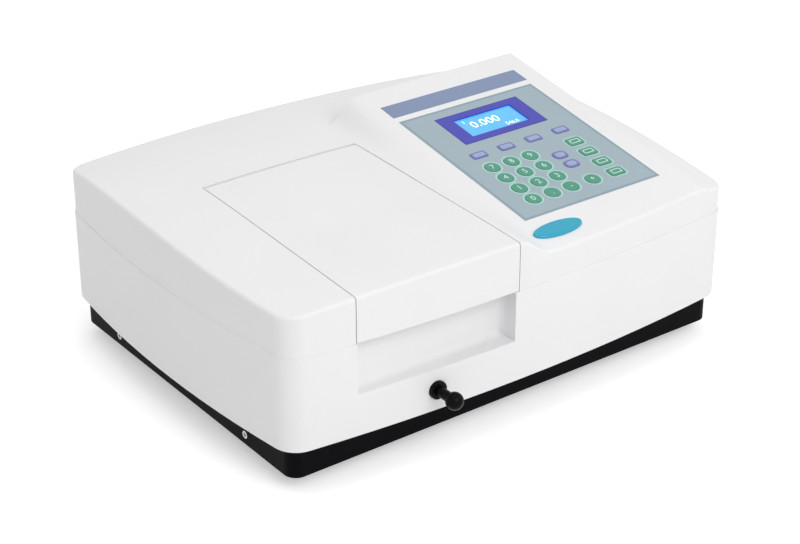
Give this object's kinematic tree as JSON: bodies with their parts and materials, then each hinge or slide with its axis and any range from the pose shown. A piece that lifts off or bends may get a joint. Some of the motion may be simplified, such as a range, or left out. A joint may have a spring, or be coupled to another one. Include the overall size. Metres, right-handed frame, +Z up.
{
  "type": "spectrophotometer",
  "caption": "Bench spectrophotometer with a crowned two-part housing, hinged sample lid over a sliding cuvette carriage, sloping keypad console and full inner optics.",
  "frame": {"origin": "centre of the overall box in X and Y, on the floor under the feet", "axes": "+X along the width to the user's right, +Y from front to back, +Z up"},
  "size_m": [0.4598, 0.3791, 0.1823],
  "materials": {
    "white_housing": "fine satin moulded shell",
    "black_base": "black powder coat",
    "rubber_feet": "matt black",
    "panel_face": "grey-blue printed film",
    "title_face": "blue-grey film",
    "display_frame": "violet-blue frame",
    "display_face": "lit blue display",
    "badge_gloss": "domed cyan-blue resin",
    "green_keys": "green embossed keys",
    "function_keys": "violet outlined keys",
    "black_plastic": "black moulding",
    "black_anodised": "matt black anodised",
    "steel": "turned steel",
    "motor_steel": "dark motor cans",
    "zinc_sheet": "zinc-plated sheet",
    "cast_alloy": "as-cast alloy",
    "mirror_face": "aluminised glass",
    "lamp_glass": "lamp envelope",
    "board_green": "circuit board"
  },
  "bodies": {
    "root": {"base_tray": "black_base", "detector_block": "black_anodised", "deuterium_lamp": "lamp_glass", "display_bezel": "display_frame", "display_module": "display_face", "fan_frame": "black_plastic", "feet": "rubber_feet", "guide_rods": "steel", "hinge_brackets": "steel", "hinge_pins": "steel", "keypad_board": "board_green", "keypad_panel": "panel_face", "lamp_house": "zinc_sheet", "light_seal": "rubber_feet", "lower_housing": "white_housing", "main_board": "board_green", "optics_housing": "cast_alloy", "optics_mirrors": "mirror_face", "oval_badge": "badge_gloss", "power_inlet": "black_plastic", "power_supply": "zinc_sheet", "rod_bushing": "black_plastic", "sample_chamber": "black_anodised", "side_screws": "steel", "stepper_motors": "motor_steel", "title_strip": "title_face", "tungsten_lamp": "lamp_glass", "upper_cover": "white_housing"},
    "lid": {"sample_lid": "white_housing"},
    "carriage": {"cuvette_carriage": "black_anodised", "pull_rod": "steel", "rod_knob": "black_plastic"},
    "rotor": {"fan_rotor": "black_plastic"},
    "rocker": {"power_rocker": "black_plastic"},
    "grating": {"grating_table": "cast_alloy"},
    "filters": {"filter_wheel": "black_anodised"},
    "turning_mirror": {"source_mirror": "mirror_face"},
    "key_arrow_down_body": {"key_arrow_down": "function_keys"},
    "key_arrow_up_body": {"key_arrow_up": "function_keys"},
    "key_command_1_body": {"key_command_1": "green_keys"},
    "key_command_2_body": {"key_command_2": "green_keys"},
    "key_command_3_body": {"key_command_3": "green_keys"},
    "key_command_4_body": {"key_command_4": "green_keys"},
    "key_function_1_body": {"key_function_1": "function_keys"},
    "key_function_2_body": {"key_function_2": "function_keys"},
    "key_function_3_body": {"key_function_3": "function_keys"},
    "key_function_4_body": {"key_function_4": "function_keys"},
    "key_round_11_body": {"key_round_11": "green_keys"},
    "key_round_12_body": {"key_round_12": "green_keys"},
    "key_round_13_body": {"key_round_13": "green_keys"},
    "key_round_21_body": {"key_round_21": "green_keys"},
    "key_round_22_body": {"key_round_22": "green_keys"},
    "key_round_23_body": {"key_round_23": "green_keys"},
    "key_round_31_body": {"key_round_31": "green_keys"},
    "key_round_32_body": {"key_round_32": "green_keys"},
    "key_round_33_body": {"key_round_33": "green_keys"},
    "key_round_41_body": {"key_round_41": "green_keys"},
    "key_round_42_body": {"key_round_42": "green_keys"},
    "key_round_43_body": {"key_round_43": "green_keys"},
    "key_round_44_body": {"key_round_44": "green_keys"}
  },
  "joints": [
    {"name": "lid_hinge", "type": "hinge", "parent": "root", "child": "lid", "pos_m": [-0.0875, 0.03207, 0.15614], "axis": [-1, 0, 0], "range_deg": [0, 100]},
    {"name": "carriage_slide", "type": "slide", "parent": "root", "child": "carriage", "axis": [0, -1, 0], "range_m": [0, 0.048]},
    {"name": "fan_spin", "type": "hinge", "parent": "root", "child": "rotor", "pos_m": [0.16, 0.15807, 0.076], "axis": [0, 1, 0], "continuous": true},
    {"name": "power_rock", "type": "hinge", "parent": "root", "child": "rocker", "pos_m": [0.055, 0.17207, 0.076], "axis": [1, 0, 0], "range_deg": [-14, 0]},
    {"name": "grating_turn", "type": "hinge", "parent": "root", "child": "grating", "pos_m": [0.062, -0.00693, 0.082], "axis": [0, 0, 1], "range_deg": [-5, 35]},
    {"name": "filter_turn", "type": "hinge", "parent": "root", "child": "filters", "pos_m": [0.11, 0.04907, 0.063], "axis": [0, 1, 0], "continuous": true},
    {"name": "mirror_turn", "type": "hinge", "parent": "root", "child": "turning_mirror", "pos_m": [0.11, 0.10807, 0.082], "axis": [0, 0, 1], "range_deg": [-90, 0]},
    {"name": "key_arrow_down_press", "type": "slide", "parent": "root", "child": "key_arrow_down_body", "axis": [0, 0.1556, -0.9878], "range_m": [0, 0.0005], "stiffness_N_per_m": 900, "springref_m": -0.0003},
    {"name": "key_arrow_up_press", "type": "slide", "parent": "root", "child": "key_arrow_up_body", "axis": [0, 0.1556, -0.9878], "range_m": [0, 0.0005], "stiffness_N_per_m": 900, "springref_m": -0.0003},
    {"name": "key_command_1_press", "type": "slide", "parent": "root", "child": "key_command_1_body", "axis": [0, 0.1556, -0.9878], "range_m": [0, 0.0005], "stiffness_N_per_m": 900, "springref_m": -0.0003},
    {"name": "key_command_2_press", "type": "slide", "parent": "root", "child": "key_command_2_body", "axis": [0, 0.1556, -0.9878], "range_m": [0, 0.0005], "stiffness_N_per_m": 900, "springref_m": -0.0003},
    {"name": "key_command_3_press", "type": "slide", "parent": "root", "child": "key_command_3_body", "axis": [0, 0.1556, -0.9878], "range_m": [0, 0.0005], "stiffness_N_per_m": 900, "springref_m": -0.0003},
    {"name": "key_command_4_press", "type": "slide", "parent": "root", "child": "key_command_4_body", "axis": [0, 0.1556, -0.9878], "range_m": [0, 0.0005], "stiffness_N_per_m": 900, "springref_m": -0.0003},
    {"name": "key_function_1_press", "type": "slide", "parent": "root", "child": "key_function_1_body", "axis": [0, 0.1556, -0.9878], "range_m": [0, 0.0005], "stiffness_N_per_m": 900, "springref_m": -0.0003},
    {"name": "key_function_2_press", "type": "slide", "parent": "root", "child": "key_function_2_body", "axis": [0, 0.1556, -0.9878], "range_m": [0, 0.0005], "stiffness_N_per_m": 900, "springref_m": -0.0003},
    {"name": "key_function_3_press", "type": "slide", "parent": "root", "child": "key_function_3_body", "axis": [0, 0.1556, -0.9878], "range_m": [0, 0.0005], "stiffness_N_per_m": 900, "springref_m": -0.0003},
    {"name": "key_function_4_press", "type": "slide", "parent": "root", "child": "key_function_4_body", "axis": [0, 0.1556, -0.9878], "range_m": [0, 0.0005], "stiffness_N_per_m": 900, "springref_m": -0.0003},
    {"name": "key_round_11_press", "type": "slide", "parent": "root", "child": "key_round_11_body", "axis": [0, 0.1556, -0.9878], "range_m": [0, 0.0005], "stiffness_N_per_m": 900, "springref_m": -0.0003},
    {"name": "key_round_12_press", "type": "slide", "parent": "root", "child": "key_round_12_body", "axis": [0, 0.1556, -0.9878], "range_m": [0, 0.0005], "stiffness_N_per_m": 900, "springref_m": -0.0003},
    {"name": "key_round_13_press", "type": "slide", "parent": "root", "child": "key_round_13_body", "axis": [0, 0.1556, -0.9878], "range_m": [0, 0.0005], "stiffness_N_per_m": 900, "springref_m": -0.0003},
    {"name": "key_round_21_press", "type": "slide", "parent": "root", "child": "key_round_21_body", "axis": [0, 0.1556, -0.9878], "range_m": [0, 0.0005], "stiffness_N_per_m": 900, "springref_m": -0.0003},
    {"name": "key_round_22_press", "type": "slide", "parent": "root", "child": "key_round_22_body", "axis": [0, 0.1556, -0.9878], "range_m": [0, 0.0005], "stiffness_N_per_m": 900, "springref_m": -0.0003},
    {"name": "key_round_23_press", "type": "slide", "parent": "root", "child": "key_round_23_body", "axis": [0, 0.1556, -0.9878], "range_m": [0, 0.0005], "stiffness_N_per_m": 900, "springref_m": -0.0003},
    {"name": "key_round_31_press", "type": "slide", "parent": "root", "child": "key_round_31_body", "axis": [0, 0.1556, -0.9878], "range_m": [0, 0.0005], "stiffness_N_per_m": 900, "springref_m": -0.0003},
    {"name": "key_round_32_press", "type": "slide", "parent": "root", "child": "key_round_32_body", "axis": [0, 0.1556, -0.9878], "range_m": [0, 0.0005], "stiffness_N_per_m": 900, "springref_m": -0.0003},
    {"name": "key_round_33_press", "type": "slide", "parent": "root", "child": "key_round_33_body", "axis": [0, 0.1556, -0.9878], "range_m": [0, 0.0005], "stiffness_N_per_m": 900, "springref_m": -0.0003},
    {"name": "key_round_41_press", "type": "slide", "parent": "root", "child": "key_round_41_body", "axis": [0, 0.1556, -0.9878], "range_m": [0, 0.0005], "stiffness_N_per_m": 900, "springref_m": -0.0003},
    {"name": "key_round_42_press", "type": "slide", "parent": "root", "child": "key_round_42_body", "axis": [0, 0.1556, -0.9878], "range_m": [0, 0.0005], "stiffness_N_per_m": 900, "springref_m": -0.0003},
    {"name": "key_round_43_press", "type": "slide", "parent": "root", "child": "key_round_43_body", "axis": [0, 0.1556, -0.9878], "range_m": [0, 0.0005], "stiffness_N_per_m": 900, "springref_m": -0.0003},
    {"name": "key_round_44_press", "type": "slide", "parent": "root", "child": "key_round_44_body", "axis": [0, 0.1556, -0.9878], "range_m": [0, 0.0005], "stiffness_N_per_m": 900, "springref_m": -0.0003}
  ]
}
